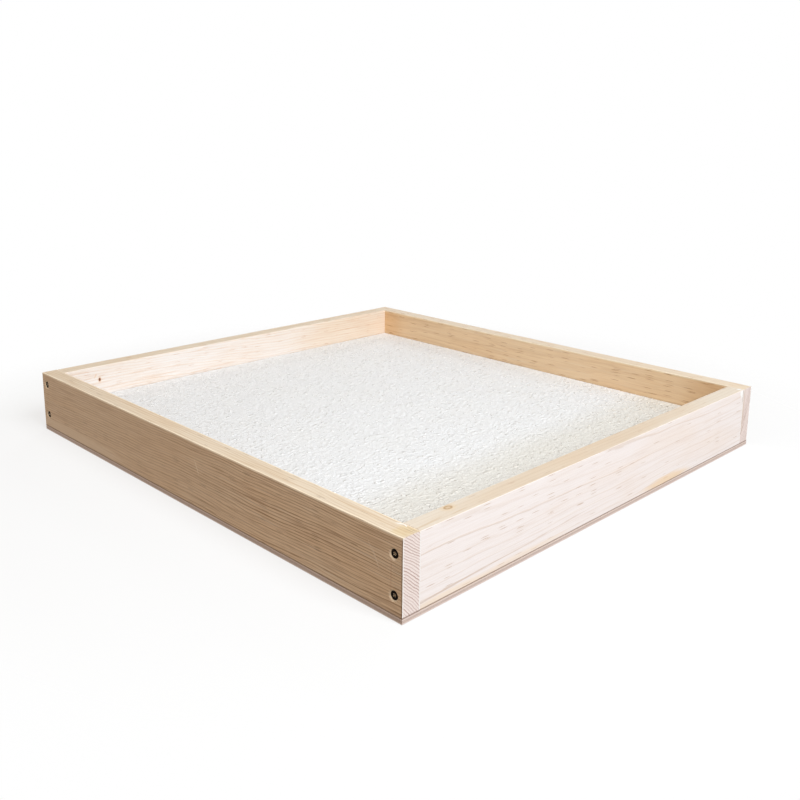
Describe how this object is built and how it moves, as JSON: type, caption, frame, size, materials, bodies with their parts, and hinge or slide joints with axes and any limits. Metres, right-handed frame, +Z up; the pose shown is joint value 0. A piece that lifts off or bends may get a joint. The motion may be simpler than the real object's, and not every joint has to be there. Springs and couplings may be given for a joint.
{
  "type": "screen printing tray with foam pad",
  "caption": "Shallow square-cornered pine tray with butt-jointed screwed rails, a thin pinned bottom panel and a lift-out foam printing pad.",
  "frame": {"origin": "middle of the flat underside of the bottom panel", "axes": "+Z up through the open top; the full-length rails run along Y at -X and +X, the cross rails lie between them along X"},
  "size_m": [0.536, 0.568, 0.066],
  "materials": {
    "pine": "planed bare pine, fine growth-ring grain with short brown resin flecks",
    "panel": "thin plywood, sawn edge, plain faces",
    "foam": "white closed-cell foam with a fine pebbled skin",
    "screw_black": "dark bronze-black phosphated steel",
    "pin_steel": "bright drawn steel wire"
  },
  "bodies": {
    "tray": {"back_rail": "pine", "bottom_panel": "panel", "front_rail": "pine", "left_rail": "pine", "panel_pin_back_1": "pin_steel", "panel_pin_back_2": "pin_steel", "panel_pin_back_3": "pin_steel", "panel_pin_back_4": "pin_steel", "panel_pin_front_1": "pin_steel", "panel_pin_front_2": "pin_steel", "panel_pin_front_3": "pin_steel", "panel_pin_front_4": "pin_steel", "panel_pin_left_1": "pin_steel", "panel_pin_left_2": "pin_steel", "panel_pin_left_3": "pin_steel", "panel_pin_left_4": "pin_steel", "panel_pin_left_5": "pin_steel", "panel_pin_right_1": "pin_steel", "panel_pin_right_2": "pin_steel", "panel_pin_right_3": "pin_steel", "panel_pin_right_4": "pin_steel", "panel_pin_right_5": "pin_steel", "right_rail": "pine", "screw_left_back_lower": "screw_black", "screw_left_back_upper": "screw_black", "screw_left_front_lower": "screw_black", "screw_left_front_upper": "screw_black", "screw_right_back_lower": "screw_black", "screw_right_back_upper": "screw_black", "screw_right_front_lower": "screw_black", "screw_right_front_upper": "screw_black"},
    "pad": {"foam_pad": "foam"}
  },
  "joints": [
    {"name": "pad_lift", "type": "slide", "parent": "tray", "child": "pad", "axis": [0, 0, 1], "range_m": [0, 0.07]}
  ]
}
